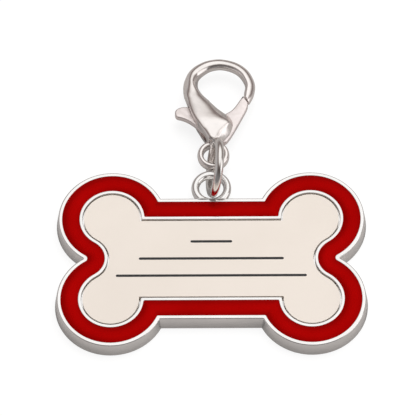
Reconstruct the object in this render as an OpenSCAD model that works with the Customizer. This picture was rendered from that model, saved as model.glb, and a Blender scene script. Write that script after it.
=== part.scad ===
// Bone-shaped pet id tag with an enamel band, a name plate, a jump ring and a lobster-claw clasp.
// It lies on a table: the origin is the centre of the tag's back face, +Z rises out of the
// enamelled face and +Y runs from the tag towards the clasp. Lengths are in millimetres.

/* [Tag outline] */
// From the tag's middle to the centres of its left and right lobes
lobe_x = 16; // [13:0.5:20]
// Radius of a lobe at the front face
lobe_r = 8.65; // [8.2:0.05:9.2]
// How far each lobe reaches over the tag's long axis
lobe_lap = 1.25; // [1:0.05:1.5]
// From the long axis to the straight edge at the front face
shaft_half = 11.15; // [10.5:0.05:12]
// Thickness of the casting
tag_t = 2.6; // [2.4:0.1:3]
// How much further the back face reaches than the front face, on every side
draft = 0.4; // [0.1:0.05:0.5]
// Radius of the polished front edge
edge_r = 0.2; // [0.1:0.05:0.3]

/* [Enamel channel] */
// Width of the raised outer rim
outer_rim = 0.65; // [0.5:0.05:0.9]
// Width of the enamel band
band_w = 2.75; // [2:0.05:3]
// Depth of the channel under the rims
channel_depth = 0.8; // [0.5:0.1:1]
// How far the enamel's edge lies below the rims
enamel_drop = 0.1; // [0.05:0.05:0.3]

/* [Name plate] */
// Width of the raised inner rim
inner_rim = 0.5; // [0.3:0.05:0.7]
// Gap between the inner rim and the plate
plate_gap = 0.25; // [0.15:0.05:0.4]
// Thickness of the plate
plate_t = 0.7; // [0.5:0.1:0.8]
// Thickness of the adhesive film under the plate
film_t = 0.1; // [0.05:0.05:0.15]
// How far the plate's face lies below the rims
plate_drop = 0.15; // [0.1:0.05:0.3]
// How far the adhesive film stays back from the plate's edge
film_inset = 0.6; // [0.3:0.1:1]

/* [Writing rules] */
// Thickness of a painted rule
rule_w = 0.45; // [0.3:0.05:0.6]
// Depth of the engraving that holds the paint
rule_depth = 0.1; // [0.05:0.05:0.2]
// Distance from one rule to the next
rule_pitch = 3.15; // [2.5:0.05:3.4]
// Length of the top rule
rule_top = 6.7; // [5:0.1:10]
// Length of the middle rule
rule_mid = 23.2; // [15:0.1:26]
// Length of the bottom rule
rule_low = 30.5; // [20:0.1:32]

/* [Tag eye] */
// Radius of the hole in the tag's eye
eye_hole = 2; // [1.95:0.05:2.1]
// Width of the metal round the hole
eye_w = 1.15; // [1.05:0.05:1.25]
// Depth of the eye along the hole
eye_depth = 1.4; // [1.2:0.1:1.5]
// How far the hole's round stays off the tag's edge
eye_neck = 0.05; // [0.05:0.05:0.2]

/* [Jump ring] */
// Outer diameter of the jump ring
ring_od = 9.9; // [9.8:0.1:10.2]
// Thickness of its round wire
ring_wire = 1.4; // [1.3:0.05:1.4]
// How far the ring's centre stands out from the centre of the tag's eye
ring_reach = 2.4; // [2.35:0.05:2.45]
// How far the ring's centre lies to the right of the tag's middle
ring_side = 0.6; // [0.4:0.05:0.7]
// Lean of the standing ring towards the right, in degrees
ring_lean = 11; // [8:1:12]
// Width of the butt joint in the ring
ring_split = 0.06; // [0.03:0.01:0.1]
// Free gap between one loop of metal and the next
link_gap = 0.15; // [0.1:0.05:0.2]

/* [Clasp eye] */
// Radius of the hole in the clasp's eye
clasp_hole = 1.6; // [1.5:0.05:1.8]
// Width of the metal round that hole
clasp_eye_w = 1; // [0.8:0.05:1.2]
// Depth of the clasp's eye along the hole
clasp_eye_depth = 1.7; // [1.5:0.1:1.9]
// How far the clasp's eye lies to the right of the tag's middle
clasp_side = 0.35; // [0.2:0.05:0.5]

/* [Clasp body] */
// Depth of the body over its two cheeks
body_depth = 5.4; // [5:0.1:5.8]
// From the clasp's eye to the centre of the hook's round
hook_rise = 12.7; // [12.3:0.1:13.3]
// How far the hook's centre lies to the right of the clasp's eye
hook_side = 1.1; // [0.8:0.1:1.5]
// Radius of the middle line of the hook's round
hook_r = 5.05; // [4.7:0.05:5.2]
// Width of the hook's metal at the nose
hook_w = 1.7; // [1.5:0.05:1.9]
// Depth of the hook's metal
hook_depth = 2.3; // [2:0.1:2.6]
// From the clasp's eye to the pivot, along the clasp
pivot_rise = 4.45; // [4.4:0.05:4.7]
// How far the pivot lies to the right of the clasp's eye
pivot_side = 0.4; // [0.2:0.1:0.6]

/* [Lever] */
// Thickness of the lever
lever_t = 1.4; // [1.2:0.1:1.6]
// Gap between the lever and each cheek
lever_gap = 0.08; // [0.05:0.01:0.12]
// Radius of the lever's round boss at the pivot
boss_r = 1.6; // [1.5:0.05:1.65]
// From the pivot to the middle of the thumb tab's round end
tab_reach = 6.7; // [6.4:0.1:7]
// Half the width of the thumb tab
tab_half = 0.95; // [0.8:0.05:1.05]
// Gap between the gate's tip and the hook's nose
nose_gap = 0.1; // [0.05:0.05:0.15]

/* [Pin and spring] */
// Radius of the pivot pin
pin_r = 0.65; // [0.55:0.05:0.7]
// Radial clearance of the lever on the pin
pin_clear = 0.05; // [0.02:0.01:0.08]
// Metal left over the pin's blind end in the front cheek
pin_cover = 0.6; // [0.4:0.1:0.8]
// Wire thickness of the torsion spring
spring_wire = 0.35; // [0.25:0.05:0.35]
// Radial gap between the spring and the pin, and between the spring and its pocket
spring_gap = 0.1; // [0.05:0.05:0.1]
// Turns that the spring is wound round the pin
spring_turns = 2; // [1:1:2]

/* [Hidden] */
$fn = 64;

// One overrun serves every cut that runs past a face.
over = 1;
// A short overlap that joins two parts of one casting.
weld = 0.3;

// From the tag's long axis to the centres of its lobes.
lobe_y = lobe_r - lobe_lap;

// Insets from the front outline, one inside the other.
channel_in = outer_rim;
island_in = channel_in + band_w;
pocket_in = island_in + inner_rim;
plate_in = pocket_in + plate_gap;
film_in = plate_in + film_inset;
pocket_depth = plate_drop + plate_t + film_t;
plate_top = tag_t - plate_drop;

// The tag's eye stands clear of the ring's wire, which passes under it on the table.
eye_y = shaft_half + eye_neck + eye_hole;
eye_z = ring_wire + link_gap / 2 + eye_depth / 2;
eye_mid = eye_hole + eye_w / 2;

// The ring stands on the table and leans.
ring_r = (ring_od - ring_wire) / 2;
ring_at = [ring_side, eye_y + ring_reach, ring_r * cos(ring_lean) + ring_wire / 2];
split_angle = 25;

// The clasp lies on the table, its eye just beyond the tag's eye.
clasp_eye_mid = clasp_hole + clasp_eye_w / 2;
clasp_at = [clasp_side, eye_y + eye_hole + eye_w + link_gap + clasp_eye_w + clasp_hole,
            body_depth / 2];

// Places in the clasp, from the centre of its eye.
hook_at = [hook_side, hook_rise];
pivot_at = [pivot_side, pivot_rise];
nose_angle = -27.5;
seam_angle = -63.5;
seam_at = hook_at + hook_r * [cos(nose_angle), sin(nose_angle)];
seam_dir = [cos(seam_angle), sin(seam_angle)];
seam_in = [sin(seam_angle), -cos(seam_angle)];
limb_angle = 195;

// The clasp's outlines follow the distance from its pivot to the centre of its hook.
span = norm(hook_at - pivot_at);
// Each lump of the cheeks: its place from the pivot and its radius, as shares of the span,
// and its depth as a share of the body's depth.
cheek_shares = [[-0.417, 0.737, 0.184, 0.58], [-0.302, 0.38, 0.163, 0.86],
                [0.211, 0.26, 0.103, 0.64], [-0.024, 0.115, 0.229, 1.06],
                [0.109, -0.006, 0.175, 0.9], [-0.024, -0.151, 0.139, 0.66]];
// The lever's corners from the pivot, as shares of the span.
crook_shares = [-0.024, 0.181];
knee_shares = [0.243, 0.384];
bend_shares = [0.478, 0.661];
back_shares = [0.564, 0.331];
hip_shares = [0.413, 0.054];
heel_shares = [0.187, -0.284];
elbow_shares = [-0.423, 0.314];
elbow_half = span * 0.15;
tab_angle = 148;
tab_end = tab_reach * [cos(tab_angle), sin(tab_angle)];
// The corners of the solid web that joins the cheeks over the thumb tab.
web_shares = [-0.121, 0.441];
brow_shares = [-0.411, 0.56];

// The slot between the cheeks, and the pocket for the spring in the lever's back.
slot_t = lever_t + 2 * lever_gap;
slot_low = pivot_rise - boss_r - lever_gap;
spring_h = spring_wire * spring_turns;
spring_in = pin_r + spring_gap;
spring_out = spring_in + spring_wire;
pocket_r = spring_out + spring_gap;
// The opening in the pocket's wall that the spring's leg sweeps through as the lever swings.
leg_gap_angles = [172, 252];

function flat(p, z = 0) = [p[0], p[1], z];

// The tag's outline, drawn in by the given inset all round: four lobes, the straight middle,
// and at each end the web between two lobes, with the notch's point rounded by the inset.
module bone(inset) {
    notch = lobe_x + sqrt(lobe_r * lobe_r - lobe_y * lobe_y);
    for (x = [-lobe_x, lobe_x], y = [-lobe_y, lobe_y]) translate([x, y]) circle(lobe_r - inset);
    square([2 * lobe_x + 2 * weld, 2 * (shaft_half - inset)], center = true);
    for (turn = [0, 180]) rotate(turn) difference() {
        polygon([[lobe_x - weld, -lobe_y], [lobe_x, -lobe_y], [notch, 0], [lobe_x, lobe_y],
                 [lobe_x - weld, lobe_y]]);
        translate([notch, 0]) circle(inset);
    }
}

// Half the section of the casting: a drafted side and a rounded front edge, out to the reach.
module side_profile(reach) {
    polygon([[0, 0], [reach + draft, 0], [reach, tag_t - edge_r], [reach - edge_r, tag_t - edge_r],
             [reach - edge_r, tag_t], [0, tag_t]]);
    translate([reach - edge_r, tag_t - edge_r]) circle(edge_r);
}

// The solid casting before any recess is cut.
module tag_blank() {
    for (x = [-lobe_x, lobe_x], y = [-lobe_y, lobe_y])
        translate([x, y, 0]) rotate_extrude() side_profile(lobe_r);
    for (turn = [0, 180]) rotate([0, 0, turn]) rotate([90, 0, 90])
        linear_extrude(2 * lobe_x, center = true) side_profile(shaft_half);
}

// A rounded rectangle, for the section of a cast eye or hook.
module soft_section(w, d, r) {
    square([w - 2 * r, d], center = true);
    square([w, d - 2 * r], center = true);
    for (x = [-1, 1], y = [-1, 1]) translate([x * (w / 2 - r), y * (d / 2 - r)]) circle(r);
}

// A cast eye: a ring of rounded section round a hole.
module cast_eye(mid, w, d) {
    rotate_extrude() translate([mid, 0]) soft_section(w, d, w * 0.48);
}

// The eye on the tag's edge. Its round is cut off along the tag's rounded edge.
module tag_eye() {
    foot = eye_y - shaft_half + edge_r / 2;
    translate([0, eye_y, eye_z]) intersection() {
        cast_eye(eye_mid, eye_w, eye_depth);
        translate([-2 * eye_mid, -foot, -eye_depth])
            cube([4 * eye_mid, foot + 2 * eye_mid, 2 * eye_depth]);
    }
}

module tag_body() {
    color("silver") difference() {
        union() {
            tag_blank();
            tag_eye();
        }
        translate([0, 0, tag_t - channel_depth]) linear_extrude(channel_depth + over) difference() {
            bone(channel_in);
            bone(island_in);
        }
        translate([0, 0, tag_t - pocket_depth]) linear_extrude(pocket_depth + over) bone(pocket_in);
    }
}

module red_enamel() {
    color([0.7, 0.02, 0.02]) translate([0, 0, tag_t - channel_depth])
        linear_extrude(channel_depth - enamel_drop) difference() {
            bone(channel_in);
            bone(island_in);
        }
}

// The three writing rules, as flat bars with round ends, raised by the given height.
module rules(height) {
    lengths = [rule_top, rule_mid, rule_low];
    for (i = [0 : 2]) translate([0, (1 - i) * rule_pitch, 0]) linear_extrude(height) {
        square([lengths[i] - rule_w, rule_w], center = true);
        for (side = [-1, 1]) translate([side * (lengths[i] - rule_w) / 2, 0]) circle(rule_w / 2);
    }
}

module name_plate() {
    color([0.93, 0.9, 0.85]) difference() {
        translate([0, 0, plate_top - plate_t]) linear_extrude(plate_t) bone(plate_in);
        translate([0, 0, plate_top - rule_depth]) rules(rule_depth + over);
    }
}

module rule_fill() {
    color([0.08, 0.08, 0.08]) translate([0, 0, plate_top - rule_depth]) rules(rule_depth);
}

module plate_adhesive() {
    color([0.8, 0.8, 0.75]) translate([0, 0, plate_top - plate_t - film_t])
        linear_extrude(film_t) bone(film_in);
}

// The ring lies in the plane of Y and of the leaning upright.
module ring_place() {
    translate(ring_at) rotate([0, ring_lean, 0]) rotate([90, 0, 90]) children();
}

module jump_ring() {
    color([0.75, 0.74, 0.73]) ring_place() difference() {
        rotate_extrude() translate([ring_r, 0]) circle(ring_wire / 2);
        rotate([0, 0, split_angle]) translate([ring_r, 0, 0])
            cube([ring_wire + over, ring_split, ring_wire + over], center = true);
    }
}

// The hook's round, from the nose over the top to the limb that runs into the body.
module hook() {
    difference() {
        translate(flat(hook_at)) rotate([0, 0, nose_angle - 15])
            rotate_extrude(angle = limb_angle - nose_angle + 15)
                translate([hook_r, 0]) soft_section(hook_w, hook_depth, hook_w * 0.45);
        translate(flat(seam_at)) rotate([0, 0, seam_angle])
            translate([0, -hook_depth, 0]) cube([4 * hook_w, 2 * hook_depth, 2 * hook_depth], center = true);
    }
}

// One rounded lump of the body's casting, for the hull that blends them.
module lump(place, r, depth) {
    translate(flat(place)) scale([1, 1, depth / 2 / r]) sphere(r, $fn = 32);
}

// The limb and the two cheeks as one smooth casting, cut flat where it lies on the table.
module cheeks() {
    module share_lump(s) lump(pivot_at + span * [s[0], s[1]], span * s[2], body_depth * s[3]);
    intersection() {
        union() {
            hull() {
                lump(hook_at - [hook_r * 0.98, 0], hook_w * 0.6, hook_depth * 1.05);
                share_lump(cheek_shares[0]);
            }
            hull() for (s = cheek_shares) share_lump(s);
        }
        cube([hook_rise * 4, hook_rise * 4, body_depth], center = true);
    }
}

// The space between the cheeks that the lever swings in: it leaves the web over the tab and
// the foot over the eye.
module lever_slot() {
    web = pivot_at + span * web_shares;
    brow = pivot_at + span * brow_shares;
    far = hook_rise * 2;
    linear_extrude(slot_t, center = true) {
        translate(pivot_at) circle(boss_r + lever_gap);
        polygon([pivot_at, [pivot_side, slot_low], [pivot_side + boss_r, -far], [far, -far],
                 [far, far], [web[0], far], web]);
        polygon([pivot_at, web, brow, [-far, brow[1]], [-far, slot_low], [pivot_side, slot_low]]);
    }
}

module clasp_place() {
    translate(clasp_at) children();
}

module clasp_body() {
    color([0.78, 0.77, 0.76]) clasp_place() difference() {
        union() {
            cast_eye(clasp_eye_mid, clasp_eye_w, clasp_eye_depth);
            hook();
            difference() {
                cheeks();
                cylinder(r = clasp_hole, h = body_depth + over, center = true);
                lever_slot();
            }
        }
        translate(flat(pivot_at, -body_depth / 2 - over))
            cylinder(r = pin_r, h = body_depth - pin_cover + over);
    }
}

// A flat bar with round ends, wider at one end than at the other.
module bar(a, b, ra, rb) {
    d = (b - a) / norm(b - a);
    n = [-d[1], d[0]];
    polygon([a - n * ra, b - n * rb, b + n * rb, a + n * ra]);
    translate(a) circle(ra);
    translate(b) circle(rb);
}

// The lever seen from the front, from its pivot: boss, gate arm and thumb tab.
module lever_outline() {
    tip = seam_at - pivot_at + nose_gap * seam_in;
    elbow = span * elbow_shares;
    circle(boss_r);
    polygon([span * crook_shares, [0, 0], [0, -boss_r], span * heel_shares, span * hip_shares,
             span * back_shares, tip + seam_dir * hook_w / 2, tip - seam_dir * hook_w / 2,
             span * bend_shares, span * knee_shares]);
    bar([0, 0], elbow, boss_r * 0.9, elbow_half);
    bar(elbow, tab_end, elbow_half, tab_half);
}

module clasp_lever() {
    function around(angle) = 2 * boss_r * [cos(angle), sin(angle)];
    color([0.8, 0.79, 0.78]) clasp_place() translate(flat(pivot_at)) difference() {
        linear_extrude(lever_t, center = true) lever_outline();
        cylinder(r = pin_r + pin_clear, h = lever_t + over, center = true);
        translate([0, 0, -lever_t / 2 - over]) linear_extrude(spring_h + spring_gap + over) {
            circle(pocket_r);
            polygon([[0, 0], around(leg_gap_angles[0]), around(leg_gap_angles[1])]);
        }
    }
}

module lever_pin() {
    color([0.6, 0.6, 0.6]) clasp_place() translate(flat(pivot_at, -body_depth / 2))
        cylinder(r = pin_r, h = body_depth - pin_cover);
}

// The torsion spring: its close turns round the pin, as one sleeve in the lever's pocket, and
// the leg that stands on the clasp's foot, drawn just thinner than the sleeve's wall.
module lever_spring() {
    leg_r = spring_wire * 0.44;
    color([0.5, 0.5, 0.52]) clasp_place()
        translate(flat(pivot_at, spring_gap / 2 - lever_t / 2)) {
            difference() {
                cylinder(r = spring_out, h = spring_h);
                translate([0, 0, -over]) cylinder(r = spring_in, h = spring_h + 2 * over);
            }
            translate([-spring_in - spring_wire / 2, 0, spring_wire * 0.6]) rotate([90, 0, 0])
                cylinder(r = leg_r, h = boss_r + lever_gap);
        }
}

tag_body();
red_enamel();
name_plate();
plate_adhesive();
rule_fill();
jump_ring();
clasp_body();
clasp_lever();
lever_pin();
lever_spring();
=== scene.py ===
import math

import bmesh
import bpy
from mathutils import Matrix, Vector


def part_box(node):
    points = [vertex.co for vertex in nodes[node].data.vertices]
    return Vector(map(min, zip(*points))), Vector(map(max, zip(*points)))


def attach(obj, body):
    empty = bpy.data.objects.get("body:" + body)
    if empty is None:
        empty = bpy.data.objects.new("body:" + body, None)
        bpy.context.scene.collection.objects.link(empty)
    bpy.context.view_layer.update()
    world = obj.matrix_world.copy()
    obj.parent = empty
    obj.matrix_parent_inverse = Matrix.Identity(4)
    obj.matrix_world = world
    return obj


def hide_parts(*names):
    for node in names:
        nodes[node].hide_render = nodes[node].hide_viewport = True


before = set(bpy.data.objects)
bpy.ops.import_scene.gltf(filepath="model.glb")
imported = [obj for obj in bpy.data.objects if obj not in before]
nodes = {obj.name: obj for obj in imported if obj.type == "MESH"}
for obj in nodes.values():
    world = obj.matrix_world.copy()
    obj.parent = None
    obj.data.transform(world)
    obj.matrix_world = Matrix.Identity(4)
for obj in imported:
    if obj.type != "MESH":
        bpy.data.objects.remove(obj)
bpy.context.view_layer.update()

mm = 0.001

# The view: the tag lies on a table, and the camera looks down on it from the front, 59 degrees
# above the table, through a long lens.
bpy.ops.object.select_all(action="DESELECT")
bpy.ops.object.camera_add(location=(3.68 * mm, -310.6 * mm, 535 * mm),
                          rotation=(math.radians(31), math.radians(0.453), 0))
camera = bpy.context.object
camera.data.lens = 333.4
bpy.context.scene.camera = camera
bpy.context.scene.view_settings.view_transform = "Standard"


# The light: a big soft box over the far side of the tag and a weaker one low on the right, in a
# dim room. The plating mirrors the room and not the first box, which would make it too bright.
def soft_box(name, place, side, power):
    """A square area lamp that is turned towards the middle of the object."""
    target = Vector((0, 10 * mm, 0))
    aim = (target - Vector(place)).to_track_quat("-Z", "Y").to_euler()
    bpy.ops.object.light_add(type="AREA", location=place, rotation=aim)
    lamp = bpy.context.object
    lamp.name = name
    lamp.data.shape = "SQUARE"
    lamp.data.size = side
    lamp.data.energy = power
    return lamp


over_box = soft_box("over_soft_box", (0.05, 0.19, 0.57), 0.5, 1.95)
over_box.visible_glossy = False
soft_box("right_soft_box", (0.55, -0.12, 0.24), 0.45, 0.6)

# The room, as the plating mirrors it: one bright oval overhead, a little to the back and to the
# right, then dusk round it and soft grey farther out, dimmer on the viewer's side. The camera
# itself sees white.
world = bpy.data.worlds.new("dim_room")
bpy.context.scene.world = world
world.use_nodes = True
room = world.node_tree
room_shader = room.nodes["Background"]
way = room.nodes.new("ShaderNodeTexCoord")


def direction_step(operation, value):
    """A vector node of the room that works on a direction with a fixed value."""
    step = room.nodes.new("ShaderNodeVectorMath")
    step.operation = operation
    step.inputs[1].default_value = value
    return step


across = direction_step("DOT_PRODUCT", (0.72, 0, 0))
along = direction_step("DOT_PRODUCT", (0, 0.594, -0.193))
ahead = direction_step("DOT_PRODUCT", (0, -0.193, -0.594))
behind = direction_step("DOT_PRODUCT", (0, 1, 0))
shift = direction_step("ADD", (-0.15, 0, 0.625))
oval = room.nodes.new("ShaderNodeCombineXYZ")
span = room.nodes.new("ShaderNodeVectorMath")
span.operation = "LENGTH"
glow = room.nodes.new("ShaderNodeValToRGB")
ramp = glow.color_ramp
ramp.elements[0].position = 0.3
ramp.elements[0].color = (1.08, 1.07, 1.06, 1)
ramp.elements[1].position = 0.92
ramp.elements[1].color = (0.5, 0.485, 0.49, 1)
for place, shade in ((0.385, (0.9, 0.88, 0.86, 1)), (0.475, (0.42, 0.38, 0.36, 1)),
                     (0.55, (0.19, 0.155, 0.147, 1)), (0.64, (0.22, 0.185, 0.175, 1)),
                     (0.76, (0.34, 0.31, 0.3, 1))):
    ramp.elements.new(place).color = shade
dimmer = room.nodes.new("ShaderNodeMapRange")
dimmer.inputs["From Min"].default_value = -0.6
dimmer.inputs["From Max"].default_value = -0.25
dimmer.inputs["To Min"].default_value = 0.42
dimmed = room.nodes.new("ShaderNodeVectorMath")
dimmed.operation = "SCALE"
seen = room.nodes.new("ShaderNodeLightPath")
room_mix = room.nodes.new("ShaderNodeMix")
room_mix.data_type = "RGBA"
room_mix.inputs["B"].default_value = (1, 1, 1, 1)
for node in (across, along, ahead, behind):
    room.links.new(way.outputs["Generated"], node.inputs[0])
room.links.new(across.outputs["Value"], oval.inputs["X"])
room.links.new(along.outputs["Value"], oval.inputs["Y"])
room.links.new(ahead.outputs["Value"], oval.inputs["Z"])
room.links.new(oval.outputs["Vector"], shift.inputs[0])
room.links.new(shift.outputs["Vector"], span.inputs[0])
room.links.new(span.outputs["Value"], glow.inputs["Fac"])
room.links.new(glow.outputs["Color"], dimmed.inputs[0])
room.links.new(behind.outputs["Value"], dimmer.inputs["Value"])
room.links.new(dimmer.outputs["Result"], dimmed.inputs["Scale"])
room.links.new(dimmed.outputs["Vector"], room_mix.inputs["A"])
room.links.new(seen.outputs["Is Camera Ray"], room_mix.inputs["Factor"])
room.links.new(room_mix.outputs["Result"], room_shader.inputs["Color"])

# The table: a pale top that the camera sees as white, with the tag's soft shadow left on it.
# What the plating mirrors of it is its plain grey shade and a little of that white.
bpy.ops.mesh.primitive_plane_add(size=3, location=(0, 0, -0.02 * mm))
table = bpy.context.object
table.name = "table_top"
table_top = bpy.data.materials.new("pale_table")
table_top.use_nodes = True
table.data.materials.append(table_top)
net = table_top.node_tree
net.nodes.remove(net.nodes["Principled BSDF"])
path = net.nodes.new("ShaderNodeLightPath")
grey_top = net.nodes.new("ShaderNodeBsdfDiffuse")
grey_top.inputs["Color"].default_value = (0.4, 0.375, 0.36, 1)
lit_top = net.nodes.new("ShaderNodeBsdfDiffuse")
lit_top.inputs["Color"].default_value = (0.2, 0.2, 0.2, 1)
white_top = net.nodes.new("ShaderNodeEmission")
white_top.inputs["Strength"].default_value = 0.84
shown_top = net.nodes.new("ShaderNodeAddShader")
glint = net.nodes.new("ShaderNodeMath")
glint.operation = "MULTIPLY_ADD"
glint.inputs[1].default_value = 0.12
through = net.nodes.new("ShaderNodeMath")
through.operation = "MAXIMUM"
top_mix = net.nodes.new("ShaderNodeMixShader")
net.links.new(path.outputs["Is Glossy Ray"], glint.inputs[0])
net.links.new(path.outputs["Is Camera Ray"], glint.inputs[2])
net.links.new(glint.outputs[0], through.inputs[0])
net.links.new(path.outputs["Is Transmission Ray"], through.inputs[1])
net.links.new(through.outputs[0], top_mix.inputs["Fac"])
net.links.new(lit_top.outputs[0], shown_top.inputs[0])
net.links.new(white_top.outputs[0], shown_top.inputs[1])
net.links.new(grey_top.outputs[0], top_mix.inputs[1])
net.links.new(shown_top.outputs[0], top_mix.inputs[2])
net.links.new(top_mix.outputs[0], net.nodes["Material Output"].inputs["Surface"])

# The tag's casting: zinc alloy, cast with its eye, polished on the front and nickel plated. The
# bone outline is drawn out of a circle, ring by ring: back, drafted side, outer rim, enamel
# channel, inner rim and the pocket for the name plate.
enamel_low, enamel_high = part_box("red_enamel")
channel_z = enamel_low.z
enamel_drop = 0.1 * mm
tag_top = enamel_high.z + enamel_drop
pocket_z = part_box("plate_adhesive")[0].z
outer_rim = 0.65 * mm
inner_rim_out = 3.4 * mm
inner_rim_in = 3.9 * mm
lobe_r = 8.65 * mm
lobe_x = enamel_high.x + outer_rim - lobe_r
lobe_y = enamel_high.y + outer_rim - lobe_r
shaft_half = 11.15 * mm
corner_r = 0.22 * mm
draft = 0.32 * mm
side_steps, neck_steps, lobe_steps, notch_steps = 6, 5, 46, 7


def bone_outline(inset, z):
    """The tag's outline at a height, drawn in by the inset, as one loop of points."""
    r = lobe_r - inset
    side = shaft_half - inset
    lobe = Vector((lobe_x, lobe_y))
    notch_r = max(inset, corner_r)
    notch = Vector((lobe_x + math.sqrt((r + notch_r) ** 2 - lobe_y ** 2), 0))
    neck = Vector((lobe_x - math.sqrt((r + corner_r) ** 2 - (side + corner_r - lobe_y) ** 2),
                   side + corner_r))

    def arc(centre, radius, start, end, steps):
        turns = [start + (end - start) * i / steps for i in range(steps + 1)]
        return [centre + radius * Vector((math.cos(a), math.sin(a))) for a in turns]

    to_neck = math.atan2(neck.y - lobe.y, neck.x - lobe.x)
    to_notch = math.atan2(notch.y - lobe.y, notch.x - lobe.x)
    quarter = [Vector((neck.x * i / side_steps, side)) for i in range(side_steps)]
    quarter += arc(neck, corner_r, -math.pi / 2, to_neck - math.pi, neck_steps)
    quarter += arc(lobe, r, to_neck, to_notch, lobe_steps)[1:]
    quarter += arc(notch, notch_r, to_notch + math.pi, math.pi, notch_steps)[1:]
    half = quarter + [Vector((p.x, -p.y)) for p in quarter[-2::-1]]
    loop = half + [Vector((-p.x, p.y)) for p in half[-2:0:-1]]
    return [Vector((p.x, p.y, z)) for p in reversed(loop)]


def drawn_out(name, rings, capped=True):
    """A solid made by extruding a circle again and again, each time onto the next ring."""
    bpy.ops.object.select_all(action="DESELECT")
    bpy.ops.mesh.primitive_circle_add(vertices=len(rings[0]), radius=mm,
                                      fill_type="NGON" if capped else "NOTHING")
    piece = bpy.context.object
    piece.name = name
    bpy.ops.object.mode_set(mode="EDIT")
    shape = bmesh.from_edit_mesh(piece.data)
    place = shape.verts.layers.int.new("place")
    for i, v in enumerate(shape.verts):
        v[place] = i
        v.co = rings[0][i]
    bmesh.update_edit_mesh(piece.data)
    for ring in rings[1:]:
        bpy.ops.mesh.extrude_region()
        shape = bmesh.from_edit_mesh(piece.data)
        place = shape.verts.layers.int["place"]
        for v in shape.verts:
            if v.select:
                v.co = ring[v[place]]
        bmesh.update_edit_mesh(piece.data)
    bpy.ops.mesh.select_all(action="SELECT")
    bpy.ops.mesh.remove_doubles(threshold=0.0001 * mm)
    bpy.ops.mesh.normals_make_consistent(inside=False)
    bpy.ops.object.mode_set(mode="OBJECT")
    piece.data.attributes.remove(piece.data.attributes["place"])
    return piece


def rounding(inset, z, r, start, end, steps=4):
    """The (inset, height) places along a rounded edge, about its centre."""
    turns = [math.radians(start + (end - start) * i / steps) for i in range(steps + 1)]
    return [(inset + r * math.cos(a), z + r * math.sin(a)) for a in turns]


def combine(piece, tool, how):
    """Joins or cuts a piece with another solid, which is used up."""
    step = piece.modifiers.new("combine", "BOOLEAN")
    step.operation = how
    step.solver = "MANIFOLD"
    step.object = tool
    bpy.ops.object.select_all(action="DESELECT")
    bpy.context.view_layer.objects.active = piece
    piece.select_set(True)
    bpy.ops.object.modifier_apply(modifier=step.name)
    bpy.data.objects.remove(tool)


def finished(piece, material, angle=35):
    """Gives a piece its material, its smooth shading and its place in the mesh alone."""
    bpy.ops.object.select_all(action="DESELECT")
    bpy.context.view_layer.objects.active = piece
    piece.select_set(True)
    bpy.ops.object.transform_apply(location=True, rotation=True, scale=True)
    bpy.ops.object.shade_smooth_by_angle(angle=math.radians(angle))
    piece.data.materials.clear()
    piece.data.materials.append(material)


edge_r = 0.2 * mm
rim_r = 0.07 * mm
back_r = 0.12 * mm
profile = rounding(back_r - draft, back_r, back_r, 270, 180)
profile += rounding(edge_r, tag_top - edge_r, edge_r, 180, 90)
profile += rounding(outer_rim - rim_r, tag_top - rim_r, rim_r, 90, 0, 3)
profile += rounding(outer_rim + rim_r, channel_z + rim_r, rim_r, 180, 270, 2)
profile += rounding(inner_rim_out - rim_r, channel_z + rim_r, rim_r, 270, 360, 2)
profile += rounding(inner_rim_out + rim_r, tag_top - rim_r, rim_r, 180, 90, 3)
profile += rounding(inner_rim_in - rim_r, tag_top - rim_r, rim_r, 90, 0, 3)
profile += [(inner_rim_in, pocket_z)]
casting = drawn_out("tag_casting", [bone_outline(inset, z) for inset, z in profile])

# The eye at the tag's edge is a full ring of the casting, whose foot is cut off inside the edge.
eye_at = Vector((0, 13.2 * mm, 2.175 * mm))
eye_mid = 2.59 * mm
eye_half = 0.63 * mm
eye_half_depth = 0.69 * mm
eye_fullness = 0.8
foot_sunk = 0.1 * mm
foot_block = 8 * mm


def flattened(eye, middle, half_width, half_depth):
    """Gives a round ring the fuller section of a cast eye, flatter on its faces."""
    for v in eye.data.vertices:
        turn = math.atan2(v.co.y, v.co.x)
        around = math.atan2(v.co.z / half_depth, (math.hypot(v.co.x, v.co.y) - middle) / half_width)
        out = math.copysign(abs(math.cos(around)) ** eye_fullness, math.cos(around)) * half_width
        up = math.copysign(abs(math.sin(around)) ** eye_fullness, math.sin(around)) * half_depth
        v.co = (math.cos(turn) * (middle + out), math.sin(turn) * (middle + out), up)


bpy.ops.object.select_all(action="DESELECT")
bpy.ops.mesh.primitive_torus_add(major_segments=118, minor_segments=32, major_radius=eye_mid,
                                 minor_radius=eye_half, location=eye_at)
eye_ring = bpy.context.object
flattened(eye_ring, eye_mid, eye_half, eye_half_depth)
bpy.ops.mesh.primitive_cube_add(
    size=foot_block, location=(0, shaft_half - foot_sunk - foot_block / 2, eye_at.z))
combine(eye_ring, bpy.context.object, "DIFFERENCE")
combine(casting, eye_ring, "UNION")


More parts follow.
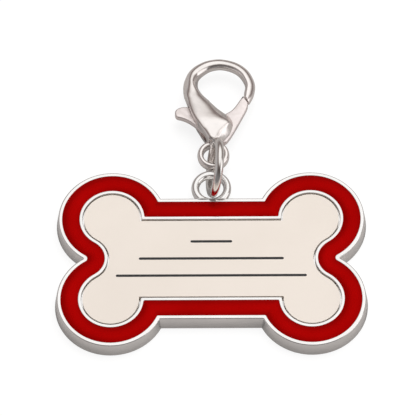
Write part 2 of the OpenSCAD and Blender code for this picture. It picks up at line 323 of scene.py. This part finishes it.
def nickel(name, shade, gloss, grain, relief):
    """Nickel plating: a bright skin over the casting, with its fine grain and soft waves."""
    plating = bpy.data.materials.new(name)
    plating.use_nodes = True
    tree = plating.node_tree
    skin = tree.nodes["Principled BSDF"]
    skin.inputs["Metallic"].default_value = 1
    where = tree.nodes.new("ShaderNodeTexCoord")
    waves = tree.nodes.new("ShaderNodeTexNoise")
    waves.inputs["Scale"].default_value = 260
    waves.inputs["Detail"].default_value = 3
    fine = tree.nodes.new("ShaderNodeTexNoise")
    fine.inputs["Scale"].default_value = grain
    fine.inputs["Detail"].default_value = 6
    fine.inputs["Roughness"].default_value = 0.65
    tone = tree.nodes.new("ShaderNodeValToRGB")
    tone.color_ramp.elements[0].position = 0.3
    tone.color_ramp.elements[0].color = (*[c * 0.93 for c in shade], 1)
    tone.color_ramp.elements[1].position = 0.65
    tone.color_ramp.elements[1].color = (*shade, 1)
    rough = tree.nodes.new("ShaderNodeMapRange")
    rough.inputs["From Min"].default_value = 0.3
    rough.inputs["From Max"].default_value = 0.7
    rough.inputs["To Min"].default_value = gloss * 0.75
    rough.inputs["To Max"].default_value = gloss * 1.35
    both = tree.nodes.new("ShaderNodeMath")
    both.operation = "MULTIPLY_ADD"
    both.inputs[1].default_value = 0.35
    bump = tree.nodes.new("ShaderNodeBump")
    bump.inputs["Distance"].default_value = relief
    bump.inputs["Strength"].default_value = 0.6
    for node in (waves, fine):
        tree.links.new(where.outputs["Object"], node.inputs["Vector"])
    tree.links.new(waves.outputs["Fac"], tone.inputs["Fac"])
    tree.links.new(tone.outputs["Color"], skin.inputs["Base Color"])
    tree.links.new(fine.outputs["Fac"], rough.inputs["Value"])
    tree.links.new(rough.outputs["Result"], skin.inputs["Roughness"])
    tree.links.new(fine.outputs["Fac"], both.inputs[0])
    tree.links.new(waves.outputs["Fac"], both.inputs[2])
    tree.links.new(both.outputs["Value"], bump.inputs["Height"])
    tree.links.new(bump.outputs["Normal"], skin.inputs["Normal"])
    return plating


finished(casting, nickel("nickel_on_tag", (0.93, 0.92, 0.91), 0.17, 2600, 0.006 * mm))
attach(casting, "tag")
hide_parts("tag_body")

# The enamel: translucent red, poured into the channel between the rims and baked, so that its
# face stands up in a soft crown and lets the metal under it glow through.
crown = 0.3 * mm
crown_fullness = 2.2
crown_steps = 14
band = [(outer_rim, channel_z)]
for i in range(crown_steps + 1):
    t = i / crown_steps
    rise = crown * (1 - abs(2 * t - 1) ** crown_fullness)
    band.append((outer_rim + (inner_rim_out - outer_rim) * t, enamel_high.z + rise))
band.append((inner_rim_out, channel_z))
band.append(band[0])
enamel = drawn_out("enamel_band", [bone_outline(inset, z) for inset, z in band], capped=False)


def baked_coat(name, dark, light, stops, clouds, grain, gloss, relief):
    """Enamel or lacquer: two close shades in soft clouds, and a fine grain in gloss and relief."""
    coat = bpy.data.materials.new(name)
    coat.use_nodes = True
    tree = coat.node_tree
    skin = tree.nodes["Principled BSDF"]
    where = tree.nodes.new("ShaderNodeTexCoord")
    cloud = tree.nodes.new("ShaderNodeTexNoise")
    cloud.inputs["Scale"].default_value, cloud.inputs["Detail"].default_value = clouds
    grit = tree.nodes.new("ShaderNodeTexNoise")
    grit.inputs["Scale"].default_value, grit.inputs["Detail"].default_value = grain
    tone = tree.nodes.new("ShaderNodeValToRGB")
    for element, stop, shade in zip(tone.color_ramp.elements, stops, (dark, light)):
        element.position = stop
        element.color = (*shade, 1)
    sheen = tree.nodes.new("ShaderNodeMapRange")
    sheen.inputs["To Min"].default_value, sheen.inputs["To Max"].default_value = gloss
    ripple = tree.nodes.new("ShaderNodeBump")
    ripple.inputs["Distance"].default_value = relief
    ripple.inputs["Strength"].default_value = 0.5
    for node in (cloud, grit):
        tree.links.new(where.outputs["Object"], node.inputs["Vector"])
    tree.links.new(cloud.outputs["Fac"], tone.inputs["Fac"])
    tree.links.new(tone.outputs["Color"], skin.inputs["Base Color"])
    tree.links.new(grit.outputs["Fac"], sheen.inputs["Value"])
    tree.links.new(sheen.outputs["Result"], skin.inputs["Roughness"])
    tree.links.new(grit.outputs["Fac"], ripple.inputs["Height"])
    tree.links.new(ripple.outputs["Normal"], skin.inputs["Normal"])
    return coat


red_enamel = baked_coat("red_enamel", (0.35, 0.0006, 0.0005), (0.4, 0.0011, 0.001), (0.3, 0.7),
                        (180, 4), (3200, 3), (0.34, 0.46), 0.004 * mm)
glaze = red_enamel.node_tree.nodes["Principled BSDF"]
glaze.inputs["Metallic"].default_value = 0.5
glaze.inputs["Specular IOR Level"].default_value = 0.01
finished(enamel, red_enamel)
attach(enamel, "tag")
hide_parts("red_enamel")

# The name plate: thin metal sprayed with ivory lacquer, glued into the pocket on a clear film.
# Its three writing rules are engraved and filled with black paint.
ivory = baked_coat("ivory_lacquer", (0.86, 0.79, 0.715), (0.885, 0.815, 0.74), (0.35, 0.65),
                   (90, 5), (1500, 2), (0.36, 0.5), 0.003 * mm)
ivory.node_tree.nodes["Principled BSDF"].inputs["Specular IOR Level"].default_value = 0.25


def dressed(node, material):
    """Gives a construction node its own material in place of the plain one."""
    nodes[node].data.materials.clear()
    nodes[node].data.materials.append(material)


def plain_finish(name, dark, light, gloss, scale, metal=0):
    """A quiet finish: two close shades in a fine mottle, and a gloss that varies with it."""
    finish = bpy.data.materials.new(name)
    finish.use_nodes = True
    tree = finish.node_tree
    skin = tree.nodes["Principled BSDF"]
    skin.inputs["Metallic"].default_value = metal
    where = tree.nodes.new("ShaderNodeTexCoord")
    mottle = tree.nodes.new("ShaderNodeTexNoise")
    mottle.inputs["Scale"].default_value = scale
    mottle.inputs["Detail"].default_value = 4
    tone = tree.nodes.new("ShaderNodeValToRGB")
    tone.color_ramp.elements[0].color = (*dark, 1)
    tone.color_ramp.elements[1].color = (*light, 1)
    rough = tree.nodes.new("ShaderNodeMapRange")
    rough.inputs["To Min"].default_value = gloss * 0.8
    rough.inputs["To Max"].default_value = gloss * 1.2
    tree.links.new(where.outputs["Object"], mottle.inputs["Vector"])
    tree.links.new(mottle.outputs["Fac"], tone.inputs["Fac"])
    tree.links.new(mottle.outputs["Fac"], rough.inputs["Value"])
    tree.links.new(tone.outputs["Color"], skin.inputs["Base Color"])
    tree.links.new(rough.outputs["Result"], skin.inputs["Roughness"])
    return finish


dressed("name_plate", ivory)
black_paint = plain_finish("black_paint", (0.008, 0.008, 0.009), (0.02, 0.02, 0.022), 0.42, 1800)
dressed("rule_fill", black_paint)
dressed("plate_adhesive", plain_finish("clear_film", (0.7, 0.7, 0.66), (0.82, 0.82, 0.78), 0.3, 700))

# The jump ring: round nickel-plated steel wire, wound on a rod and cut, so that its two ends
# meet in a fine butt joint. It stands through both eyes and leans to the right.
lean = math.radians(11)
wire_r = 0.7 * mm
ring_r = 4.25 * mm
ring_at = Vector((0.6 * mm, 15.6 * mm, wire_r + ring_r * math.cos(lean)))
ring_axis = Vector((math.cos(lean), 0, -math.sin(lean)))
ring_up = Vector((math.sin(lean), 0, math.cos(lean)))
split = math.radians(25)
split_half = math.radians(0.4)
start = split + split_half
out = Vector((0, math.cos(start), 0)) + ring_up * math.sin(start)
section_turn = Matrix((out, ring_axis, out.cross(ring_axis))).transposed().to_euler()
bpy.ops.object.select_all(action="DESELECT")
bpy.ops.mesh.primitive_circle_add(vertices=40, radius=wire_r, fill_type="NGON",
                                  location=ring_at + out * ring_r, rotation=section_turn)
ring = bpy.context.object
ring.name = "jump_ring_wire"
bpy.ops.object.mode_set(mode="EDIT")
bpy.ops.mesh.spin(steps=200, angle=2 * (math.pi - split_half), center=ring_at, axis=ring_axis)
bpy.ops.mesh.select_all(action="SELECT")
bpy.ops.mesh.normals_make_consistent(inside=False)
bpy.ops.object.mode_set(mode="OBJECT")
ends = ring.modifiers.new("filed_ends", "BEVEL")
ends.width = 0.05 * mm
ends.segments = 2
ends.limit_method = "ANGLE"
ends.angle_limit = math.radians(60)
bpy.ops.object.modifier_apply(modifier=ends.name)
finished(ring, nickel("nickel_on_wire", (0.87, 0.85, 0.83), 0.15, 3000, 0.004 * mm))
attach(ring, "ring")
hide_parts("jump_ring")

# The clasp's body: one zinc casting, tumbled and plated. A round hook runs from its nose over
# the top into a limb, which spreads into two cheeks with a domed face, a slanted band towards
# the hook's opening and an upright wall on the thumb's side.
clasp_at = Vector((0.35 * mm, 19.10 * mm, 2.7 * mm))
hook_at = Vector((1.1, 12.7))
pivot_at = Vector((0.4, 4.45))
seam_at = hook_at + Vector((4.27, -2.05))
seam_way = Vector((math.cos(math.radians(-59)), math.sin(math.radians(-59))))


def round_station(inner, outer, depth, crest, ridge=0.3, height=0.8):
    """A round place of the casting: its inner and outer point, half its depth and its crest."""
    return (*inner, *inner.lerp(outer, ridge), *inner.lerp(outer, 1 - ridge), *outer, depth, 0,
            depth * height, depth * height, crest)


# Each station holds, as seen from the front, the points at the hook's opening, at the ridge
# next to it, at the ridge on the thumb's side and at that side's edge. Then come half the
# depth, how far it is a cheek rather than a round limb, and the two ridges' heights. The last
# number is how far the round limb's crest is drawn towards the opening.
nose_half = 0.82
nose_depth = 0.95
nose_crest = 0.6
stations = []
for shrink, back in ((0.86, 0), (0.97, 0.06), (1, 0.2)):
    middle = seam_at - Vector((seam_way.y, -seam_way.x)) * back
    side = seam_way * nose_half * shrink
    stations.append(round_station(middle - side, middle + side, nose_depth * shrink, nose_crest))
for turn, r, half, depth, crest in (
        (-12, 4.83, 0.82, 0.95, 0.65), (8, 4.99, 0.83, 0.95, 0.7), (28, 4.99, 0.865, 0.95, 0.65),
        (46, 5.01, 0.885, 0.95, 0.5), (66, 4.96, 0.895, 0.95, 0.35), (90, 4.97, 0.905, 0.96, 0.15),
        (112, 4.99, 0.955, 1.03, 0), (131, 5.02, 1.03, 1.14, 0), (147, 5.08, 1.05, 1.27, 0)):
    out_way = Vector((math.cos(math.radians(turn)), math.sin(math.radians(turn))))
    stations.append(round_station(hook_at + out_way * (r - half), hook_at + out_way * (r + half),
                                  depth, crest))
stations += [
    (-2.55, 13.92, -3.2, 14.12, -4.15, 14.33, -4.7, 14.62, 1.47, 0.4, 1.32, 0.9, 0),
    (-2.5, 13.12, -3.1, 13.2, -4.35, 13.35, -4.93, 13.42, 1.58, 0.8, 1.4, 1.1, 0),
    (-2.15, 12.35, -2.75, 12.2, -4.45, 12.2, -4.93, 12.4, 1.7, 1, 1.45, 1.35, 0),
    (-1.6, 11.6, -2.15, 11.15, -4.43, 11.0, -4.82, 11.4, 1.83, 1, 1.45, 1.68, 0),
    (-0.85, 10.83, -1.5, 10.15, -4.22, 9.98, -4.55, 10.5, 1.96, 1, 1.58, 1.82, 0),
    (0.05, 9.97, -0.68, 9.1, -4.0, 8.85, -4.22, 9.6, 2.09, 1, 1.7, 1.96, 0),
    (1.0, 9.05, 0.05, 8.05, -3.75, 7.9, -3.92, 8.7, 2.22, 1, 1.8, 2.1, 0),
    (2.08, 8.2, 0.95, 7.05, -3.52, 7.15, -3.65, 7.85, 2.33, 1, 1.88, 2.22, 0),
    (2.93, 7.45, 1.75, 6.37, -3.27, 6.5, -3.4, 7.1, 2.42, 1, 1.94, 2.31, 0),
    (3.36, 6.62, 2.32, 5.77, -3.0, 5.9, -3.12, 6.4, 2.5, 1, 1.97, 2.38, 0),
    (3.48, 5.72, 2.55, 5.25, -2.68, 5.35, -2.78, 5.7, 2.54, 1, 1.98, 2.42, 0),
    (3.45, 4.75, 2.25, 4.75, -2.32, 4.75, -2.42, 5.0, 2.54, 1, 2.0, 2.42, 0),
    (3.28, 3.95, 1.8, 4.15, -1.92, 4.1, -2.02, 4.3, 2.52, 1, 2.0, 2.38, 0),
    (2.95, 3.32, 1.4, 3.6, -1.54, 3.58, -1.64, 3.72, 2.48, 1, 1.98, 2.3, 0),
    (2.5, 2.8, 1.1, 2.98, -1.2, 3.0, -1.3, 3.08, 2.4, 1, 1.93, 2.2, 0),
    (2.05, 2.35, 0.9, 2.45, -0.94, 2.48, -1.04, 2.54, 2.3, 1, 1.86, 2.08, 0),
    (1.7, 2.05, 0.78, 2.08, -0.76, 2.1, -0.88, 2.14, 2.12, 1, 1.72, 1.86, 0),
    (1.45, 1.86, 0.68, 1.85, -0.58, 1.86, -0.74, 1.88, 1.75, 1, 1.4, 1.5, 0),
    (1.2, 1.72, 0.5, 1.7, -0.4, 1.7, -0.62, 1.73, 1.0, 1, 0.75, 0.75, 0)]


def eased(rows, steps):
    """The rows with more set between them, so that every number runs on in one smooth curve."""
    full = []
    for i in range(len(rows) - 1):
        a, b, c, d = (rows[min(max(k, 0), len(rows) - 1)] for k in (i - 1, i, i + 1, i + 2))
        for step in range(steps):
            t = step / steps
            full.append([(2 * q + (r - p) * t + (2 * p - 5 * q + 4 * r - u) * t * t
                          + (3 * q - p - 3 * r + u) * t ** 3) / 2 for p, q, r, u in zip(a, b, c, d)])
    return full + [list(rows[-1])]


# How a section is rounded: its points on a band and on the face, how far each of these stops
# short of a ridge or an edge, how full its curves are, and how much flatter and narrower the
# casting's back is.
band_steps = 8
face_steps = 16
ridge_gap = 0.06
face_gap = 0.03
edge_gap = 0.1
band_swell = 0.22
dome_fullness = 2.6
wall_fullness = 1.6
back_rise = 0.85
back_drawn_in = 0.14


def clasp_section(row):
    """One closed ring of points round the casting, from the opening's side over the front."""
    inner, inner_ridge, outer_ridge, outer = (Vector(row[k:k + 2]) for k in (0, 2, 4, 6))
    depth, cheek, inner_z, outer_z, crest = row[8:]
    flank = []
    for k in range(band_steps + 1):
        t = (1 - ridge_gap) * k / band_steps
        flank.append((inner.lerp(inner_ridge, t), inner_z * (t + band_swell * t * (1 - t))))
    for k in range(face_steps + 1):
        t = face_gap + (1 - 2 * face_gap) * k / face_steps
        dome = (depth - (inner_z + outer_z) / 2) * (1 - abs(2 * t - 1) ** dome_fullness)
        flank.append((inner_ridge.lerp(outer_ridge, t), inner_z + (outer_z - inner_z) * t + dome))
    for k in range(band_steps + 1):
        t = 1 - (1 - edge_gap) * (band_steps - k) / band_steps
        flank.append((outer_ridge.lerp(outer, t), outer_z * (1 - t ** wall_fullness)))
    front = []
    for k, (flat, z) in enumerate(flank):
        turn = math.pi * k / (len(flank) - 1)
        across = (1 - math.cos(turn)) / 2
        limb = inner.lerp(outer, across - crest * across * (1 - across))
        front.append((limb.lerp(flat, cheek), depth * math.sin(turn) * (1 - cheek) + z * cheek))
    middle = inner_ridge.lerp(outer_ridge, 0.5)
    whole = front + [(flat.lerp(middle, back_drawn_in * cheek * z / depth), -back_rise * z)
                     for flat, z in front[-2:0:-1]]
    return [clasp_at + mm * Vector((flat.x, flat.y, z)) for flat, z in whole]


clasp = drawn_out("clasp_casting", [clasp_section(row) for row in eased(stations, 5)])

# The slot that the lever swings in, between the cheeks, and the bore for the pivot pin.
slot_half = 0.78
slot_corners = [(0.42, 2.77), (0.5, 0.6), (3.8, 0.6), (3.8, 8.6), (-0.6, 11.6), (-0.6, 8.1),
                (-3.0, 9.45), (-7, 9.45), (-7, 2.77)]


def slab(name, corners, low, high):
    """A flat block over an outline in the clasp's plane, between two heights."""
    rings = [[clasp_at + mm * Vector((x, y, z)) for x, y in corners] for z in (low, high)]
    return drawn_out(name, rings)


combine(clasp, slab("slot", slot_corners, -slot_half, slot_half), "DIFFERENCE")
pin_low, pin_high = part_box("lever_pin")
pin_r = (pin_high.x - pin_low.x) / 2
press_gap = 0.005 * mm
pivot = clasp_at + mm * Vector((pivot_at.x, pivot_at.y, 0))


def bored(piece, r, top, depth):
    """Cuts a round hole in a piece about the pivot, from the top height down."""
    bpy.ops.mesh.primitive_cylinder_add(vertices=48, radius=r, depth=depth,
                                        location=(pivot.x, pivot.y, top - depth / 2))
    combine(piece, bpy.context.object, "DIFFERENCE")


bored(clasp, pin_r + press_gap, pin_high.z, pin_high.z - pin_low.z + mm)

# The casting's own eye, a little slimmer than the tag's and taller.
clasp_eye_mid = 2.1 * mm
clasp_eye_half = 0.5 * mm
clasp_eye_half_depth = 0.85 * mm
bpy.ops.mesh.primitive_torus_add(major_segments=94, minor_segments=32, major_radius=clasp_eye_mid,
                                 minor_radius=clasp_eye_half, location=clasp_at)
clasp_eye = bpy.context.object
flattened(clasp_eye, clasp_eye_mid, clasp_eye_half, clasp_eye_half_depth)
combine(clasp, clasp_eye, "UNION")
finished(clasp, nickel("nickel_on_clasp", (0.95, 0.905, 0.885), 0.2, 2200, 0.005 * mm), 50)
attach(clasp, "clasp")
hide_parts("clasp_body")

# The lever: cast flat, with a thumb tab on the left and the gate arm on the right, and tumbled
# to a satin face. It turns on the pin, and the gate's tip closes against the hook's nose.
lever_half = 0.62
gate_gap = 0.1
tip_half = 0.8
tip = seam_at + Vector((seam_way.y, -seam_way.x)) * gate_gap
lever_corners = [
    (tip.x - seam_way.x * tip_half, tip.y - seam_way.y * tip_half, 0.2), (4.0, 9.85, 1.2),
    (3.1, 8.45, 1.0), (1.6, 7.55, 1.2), (0.4, 6.2, 1), (-1.0, 6.3, 1), (-3.4, 8.9, 0.4),
    (-4.2, 9.15, 0.5), (-5.3, 9.15, 1.1), (-6.32, 8.5, 0.9), (-6.25, 7.2, 0.7), (-5.1, 6.95, 1),
    (-3.85, 6.3, 1.2), (-2.55, 5.15, 1.2), (-1.25, 3.5, 1.2), (0.2, 2.75, 1.2), (1.95, 2.1, 0.5),
    (2.87, 3.4, 1), (3.72, 5.05, 1), (4.95, 7.6, 1), (5.6, 9.0, 0.6),
    (tip.x + seam_way.x * tip_half, tip.y + seam_way.y * tip_half, 0.2)]


def softened(corners, steps=5, most=0.46):
    """An outline whose corners are rounded, each over its own reach and less than half a side."""
    points = []
    for i, (x, y, reach) in enumerate(corners):
        here = Vector((x, y))
        before = Vector(corners[i - 1][:2])
        after = Vector(corners[(i + 1) % len(corners)][:2])
        a = here + (before - here).normalized() * min(reach, (before - here).length * most)
        b = here + (after - here).normalized() * min(reach, (after - here).length * most)
        for k in range(steps + 1):
            t = k / steps
            points.append(a * (1 - t) ** 2 + here * 2 * t * (1 - t) + b * t * t)
    return points


def drawn_in(points, inset):
    """A counter-clockwise outline moved inwards by the inset."""
    moved = []
    for i, p in enumerate(points):
        along = (points[(i + 1) % len(points)] - points[i - 1]).normalized()
        moved.append(p + Vector((-along.y, along.x)) * inset)
    return moved


lever_line = softened(lever_corners)
soft_edge = 0.22
back_edge = 0.45
lever_profile = [(inset, -z) for inset, z in reversed(
    rounding(back_edge, lever_half - back_edge, back_edge, 180, 90))]
lever_profile += rounding(soft_edge, lever_half - soft_edge, soft_edge, 180, 90)
lever_rings = []
for inset, z in lever_profile:
    lever_rings.append([clasp_at + mm * Vector((p.x, p.y, z)) for p in drawn_in(lever_line, inset)])
lever = drawn_out("lever_casting", lever_rings)

# The bore in which the lever turns on its pin, the spring's pocket in its back and the room in
# which the spring's leg stands still while the lever swings past it.
turn_gap = 0.05 * mm
bored(lever, pin_r + turn_gap, pivot.z + 2 * mm, 4 * mm)
spring_low, spring_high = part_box("lever_spring")
pocket_r = 1.2 * mm
pocket_depth = 0.8 * mm
spring_slack = 0.05 * mm
pocket_top = spring_low.z - spring_slack + pocket_depth
bored(lever, pocket_r, pocket_top, 2 * mm)
leg_room_r = 3.2
leg_room = [(pivot_at.x, pivot_at.y)]
for turn in (172, 200, 226, 252):
    a = math.radians(turn)
    leg_room.append((pivot_at.x + leg_room_r * math.cos(a), pivot_at.y + leg_room_r * math.sin(a)))
combine(lever, slab("leg_room", leg_room, -2, (pocket_top - clasp_at.z) / mm), "DIFFERENCE")
finished(lever, nickel("nickel_on_lever", (0.96, 0.885, 0.87), 0.32, 1500, 0.008 * mm), 40)
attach(lever, "lever")
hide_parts("clasp_lever")

# The pivot: a steel pin pressed in from the back and ground flush, with a torsion spring of
# bright wire wound round it in the lever's pocket. The spring's leg stands on the clasp's foot.
dressed("lever_pin", plain_finish("pin_steel", (0.5, 0.49, 0.48), (0.72, 0.71, 0.7), 0.3, 2500, 1))
spring_wire = 0.35 * mm
coil_gap = 0.1 * mm
coil_r = pin_r + coil_gap + spring_wire / 2
leg_end = -1.66 * mm
leg_bend = -0.8 * mm
coil_path = [Vector((-coil_r, leg_end, 0)), Vector((-coil_r, leg_bend, 0))]
turns = 1.8
coil_steps = 48
wire_room = spring_wire * 1.02
rise = spring_high.z - spring_low.z - wire_room
for i in range(coil_steps + 1):
    turn = math.pi - 2 * math.pi * turns * i / coil_steps
    coil_path.append(Vector((coil_r * math.cos(turn), coil_r * math.sin(turn),
                             rise * i / coil_steps)))
coil_line = bpy.data.curves.new("torsion_spring", "CURVE")
coil_line.dimensions = "3D"
coil_line.bevel_depth = spring_wire / 2
coil_line.bevel_resolution = 4
coil_line.use_fill_caps = True
strand = coil_line.splines.new("POLY")
strand.points.add(len(coil_path) - 1)
coil_base = Vector((pivot.x, pivot.y, spring_low.z + wire_room / 2))
for point, place in zip(strand.points, coil_path):
    point.co = (*(coil_base + place), 1)
spring = bpy.data.objects.new("torsion_spring", coil_line)
bpy.context.scene.collection.objects.link(spring)
bpy.ops.object.select_all(action="DESELECT")
bpy.context.view_layer.objects.active = spring
spring.select_set(True)
bpy.ops.object.convert(target="MESH")
spring = bpy.context.object
finished(spring, plain_finish("spring_steel", (0.32, 0.32, 0.33), (0.5, 0.5, 0.51), 0.28, 3000, 1))
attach(spring, "clasp")
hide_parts("lever_spring")
